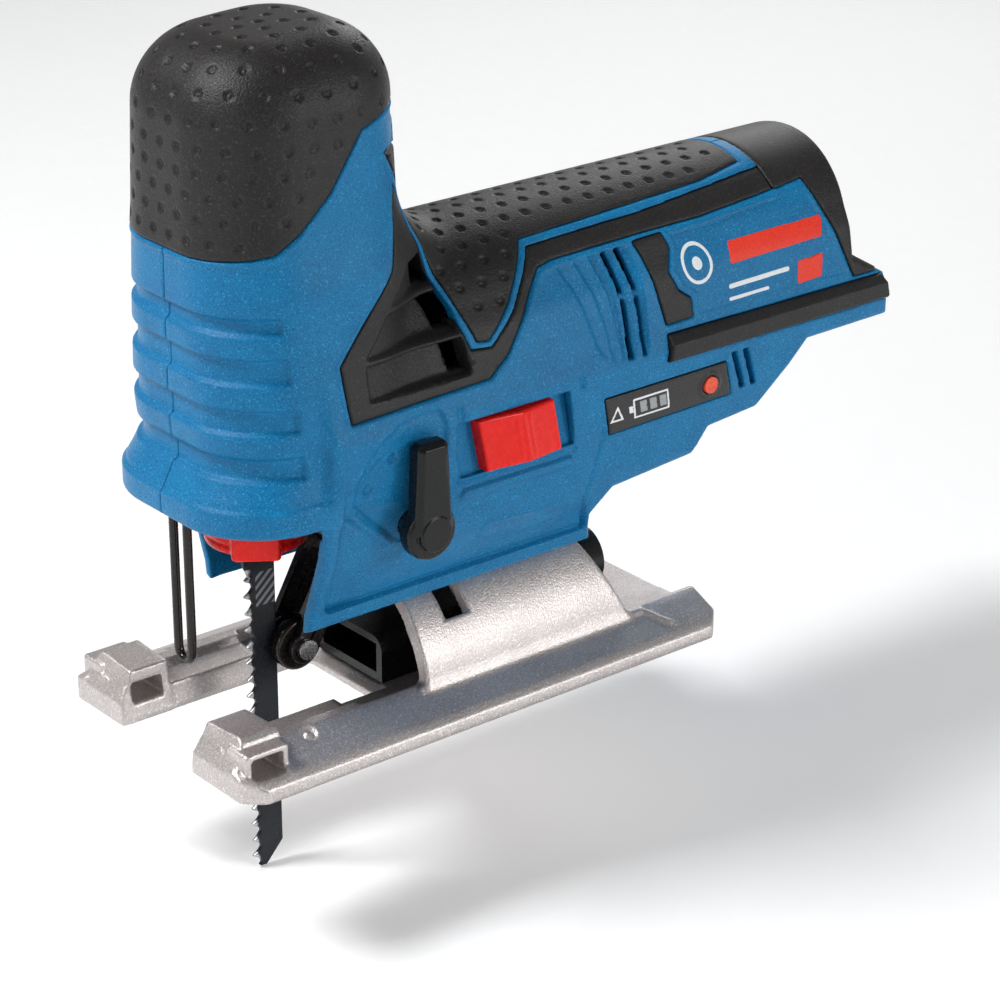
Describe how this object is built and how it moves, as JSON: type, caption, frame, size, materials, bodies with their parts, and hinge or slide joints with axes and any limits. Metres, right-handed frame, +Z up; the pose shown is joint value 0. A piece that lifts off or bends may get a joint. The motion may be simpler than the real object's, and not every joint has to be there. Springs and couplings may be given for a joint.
{
  "type": "cordless barrel-grip jigsaw",
  "caption": "Cordless jigsaw with an upright head, a barrel handle with an open battery socket, an orbital blade drive and a tilting cast sole.",
  "frame": {"origin": "centre of the sole's underside", "axes": "+Z up, +X to the battery end, -X to the blade, -Y is the side with the slide switch and the orbit lever"},
  "size_m": [0.1895, 0.071, 0.1946],
  "materials": {
    "nylon_blue": "moulded glass-filled nylon, fine spark-eroded texture",
    "rubber_black": "moulded thermoplastic elastomer, matt with dimples",
    "plastic_black": "moulded nylon, fine texture",
    "plastic_red": "moulded acetal, satin",
    "display_film": "printed film, satin gloss",
    "button_red": "moulded translucent, satin",
    "cast_aluminium": "die-cast, shot-blasted",
    "steel": "ground",
    "gear_steel": "hobbed, oiled",
    "black_steel": "blackened",
    "bronze": "sintered, oiled",
    "copper": "enamelled wire and turned copper",
    "brass": "stamped",
    "carbon": "pressed carbon",
    "ferrite": "sintered",
    "board_green": "epoxy glass board",
    "lamp": "moulded clear polycarbonate"
  },
  "bodies": {
    "base": {"foot_plate": "cast_aluminium", "dust_duct": "plastic_black"},
    "housing": {"housing_left": "nylon_blue", "housing_right": "nylon_blue", "head_grip": "rubber_black", "barrel_grip": "rubber_black", "vent_insert_left": "plastic_black", "vent_insert_right": "plastic_black", "rear_collar": "plastic_black", "bumper_strip_left": "rubber_black", "bumper_strip_right": "rubber_black", "display_panel": "display_film", "display_board": "board_green", "circuit_board": "board_green", "terminal_block": "plastic_black", "battery_contacts": "brass", "work_light": "lamp", "switch_block": "plastic_black", "housing_screws": "black_steel", "bevel_clamp_plate": "steel", "bevel_screw": "black_steel", "bevel_nut": "steel", "wire_guard": "black_steel", "motor_can": "black_steel", "magnets": "ferrite", "brush_cap": "plastic_black", "brushes": "carbon", "front_bearing": "steel", "rear_bearing": "steel", "gear_case": "cast_aluminium", "gear_bush": "bronze", "swing_bushes": "bronze", "fork_pivot_pin": "steel"},
    "armature": {"armature_shaft": "steel", "armature_core": "black_steel", "windings": "copper", "commutator": "copper", "cooling_fan": "plastic_black", "pinion": "gear_steel"},
    "gear": {"drive_gear": "gear_steel", "counterweight": "steel", "crank_pin": "steel", "gear_axle": "steel"},
    "swing": {"swing_frame": "steel", "plunger_bushes": "bronze"},
    "plunger": {"plunger_bar": "steel", "yoke": "steel", "blade_clamp": "black_steel", "blade": "black_steel"},
    "release": {"release_lever": "plastic_red"},
    "fork": {"roller_fork": "black_steel", "roller_pin": "steel"},
    "roller": {"guide_roller": "black_steel"},
    "orbit": {"orbit_lever": "plastic_black", "orbit_shaft": "steel"},
    "switch": {"switch_slider": "plastic_red"},
    "button": {"light_button": "button_red"}
  },
  "joints": [
    {"name": "bevel_tilt", "type": "hinge", "parent": "base", "child": "housing", "pos_m": [0, 0, 0.004], "axis": [1, 0, 0], "range_deg": [-45, 45]},
    {"name": "motor_spin", "type": "hinge", "parent": "housing", "child": "armature", "pos_m": [0, 0, 0.0805], "axis": [1, 0, 0], "continuous": true},
    {"name": "gear_spin", "type": "hinge", "parent": "housing", "child": "gear", "pos_m": [0, 0, 0.10455], "axis": [1, 0, 0], "continuous": true},
    {"name": "orbital_swing", "type": "hinge", "parent": "housing", "child": "swing", "pos_m": [-0.039, 0, 0.134], "axis": [0, 1, 0], "range_deg": [0, 0.9], "stiffness_Nm_per_rad": 4},
    {"name": "plunger_stroke", "type": "slide", "parent": "swing", "child": "plunger", "axis": [0, 0, 1], "range_m": [-0.009, 0.009]},
    {"name": "clamp_release", "type": "hinge", "parent": "plunger", "child": "release", "pos_m": [-0.039, 0, 0.046], "axis": [0, 0, -1], "range_deg": [0, 60], "stiffness_Nm_per_rad": 0.05},
    {"name": "fork_swing", "type": "hinge", "parent": "housing", "child": "fork", "pos_m": [-0.0175, 0, 0.0385], "axis": [0, 1, 0], "range_deg": [0, 4.7]},
    {"name": "roller_spin", "type": "hinge", "parent": "fork", "child": "roller", "pos_m": [-0.0311, 0, 0.0155], "axis": [0, 1, 0], "continuous": true},
    {"name": "orbit_select", "type": "hinge", "parent": "housing", "child": "orbit", "pos_m": [-0.0165, 0, 0.0485], "axis": [0, -1, 0], "range_deg": [0, 75]},
    {"name": "switch_slide", "type": "slide", "parent": "housing", "child": "switch", "axis": [-1, 0, 0], "range_m": [0, 0.005]},
    {"name": "light_push", "type": "slide", "parent": "housing", "child": "button", "axis": [0, 1, 0], "range_m": [0, 0.0006], "stiffness_N_per_m": 300}
  ],
  "couplings": [
    {"joint": "gear_spin", "follows": "motor_spin", "ratio": -0.25},
    {"joint": "fork_swing", "follows": "orbital_swing", "ratio": 5.12}
  ]
}
